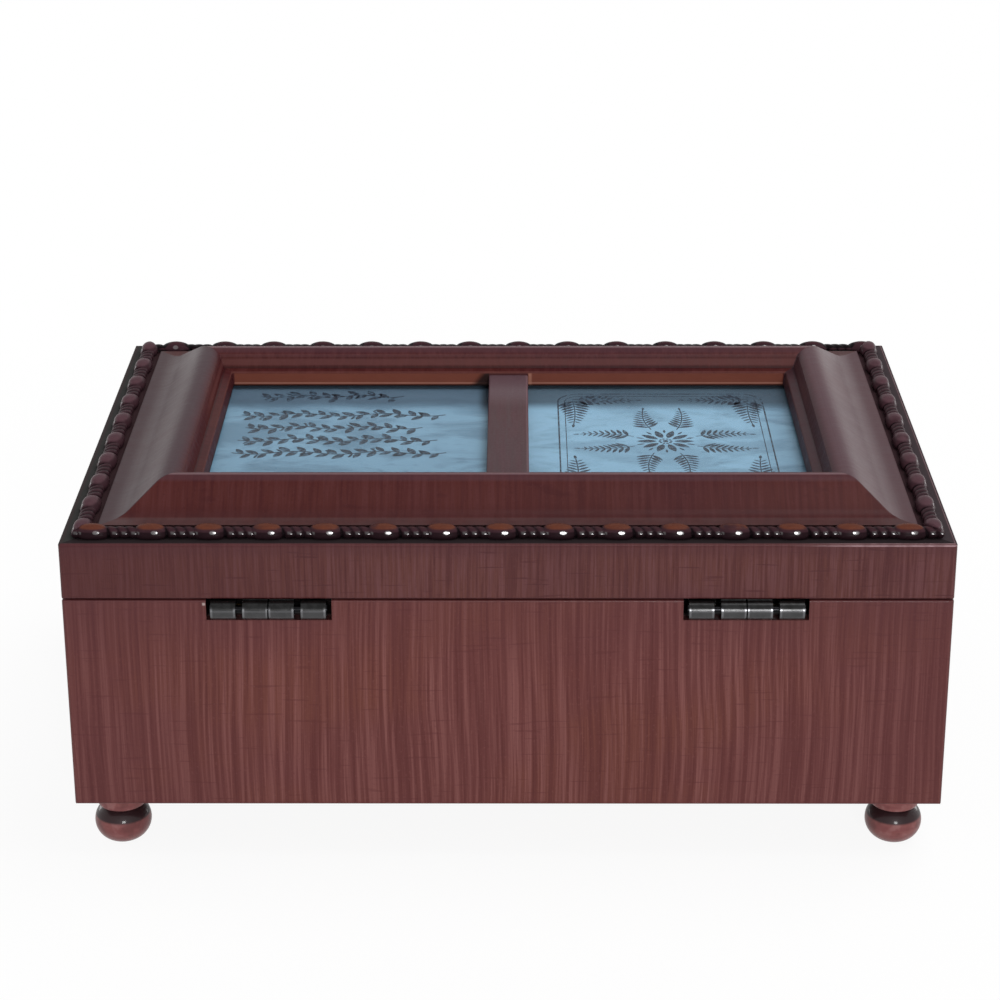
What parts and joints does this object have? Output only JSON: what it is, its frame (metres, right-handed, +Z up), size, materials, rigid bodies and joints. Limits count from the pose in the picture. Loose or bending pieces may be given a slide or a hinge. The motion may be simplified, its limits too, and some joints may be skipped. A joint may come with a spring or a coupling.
{
  "type": "keepsake box",
  "caption": "Low hardwood box for papers and keepsakes, on bun feet, with a hinged lid of ogee moulding and rope trim around glazed panels.",
  "frame": {"origin": "under the middle of the closed box with its hinge barrels, on the surface that the feet stand on", "axes": "+X to the right seen from the front, +Y to the hinge side at the back, +Z up"},
  "size_m": [0.254, 0.1678, 0.1107],
  "materials": {
    "wall_wood": "mahogany-red brushed stain under satin lacquer",
    "rail_wood": "mahogany-red brushed stain under satin lacquer",
    "moulding_wood": "dark mahogany stain under gloss lacquer",
    "rope_wood": "dark mahogany stain, rubbed tops",
    "muntin_wood": "dark mahogany stain under gloss lacquer",
    "foot_wood": "turned, dark mahogany stain under gloss lacquer",
    "panel_wood": "stained board, unpolished",
    "board": "grey-brown board",
    "lining": "deep red velvet on card",
    "glass": "clear",
    "card": "pale blue printed card",
    "hinge_steel": "dark gunmetal plate",
    "pin_steel": "plain",
    "screw_brass": "plain"
  },
  "bodies": {
    "box": {"front_wall": "wall_wood", "right_wall": "wall_wood", "rear_wall": "wall_wood", "left_wall": "wall_wood", "bottom_panel": "panel_wood", "foot_front_left": "foot_wood", "foot_front_right": "foot_wood", "foot_rear_left": "foot_wood", "foot_rear_right": "foot_wood", "floor_lining": "lining", "front_wall_lining": "lining", "right_wall_lining": "lining", "rear_wall_lining": "lining", "left_wall_lining": "lining", "left_hinge_body_leaf": "hinge_steel", "left_hinge_pin": "pin_steel", "right_hinge_body_leaf": "hinge_steel", "right_hinge_pin": "pin_steel", "body_hinge_screws": "screw_brass"},
    "lid": {"lid_front_rail": "rail_wood", "lid_right_rail": "rail_wood", "lid_rear_rail": "rail_wood", "lid_left_rail": "rail_wood", "front_moulding": "moulding_wood", "right_moulding": "moulding_wood", "rear_moulding": "moulding_wood", "left_moulding": "moulding_wood", "front_rope_trim": "rope_wood", "right_rope_trim": "rope_wood", "rear_rope_trim": "rope_wood", "left_rope_trim": "rope_wood", "centre_muntin": "muntin_wood", "left_glass": "glass", "left_card": "card", "right_glass": "glass", "right_card": "card", "backing_board": "board", "lid_lining": "lining", "left_hinge_lid_leaf": "hinge_steel", "right_hinge_lid_leaf": "hinge_steel", "lid_hinge_screws": "screw_brass"}
  },
  "joints": [
    {"name": "lid_hinge", "type": "hinge", "parent": "box", "child": "lid", "pos_m": [0, 0.08105, 0.08067], "axis": [-1, 0, 0], "range_deg": [0, 100]}
  ]
}
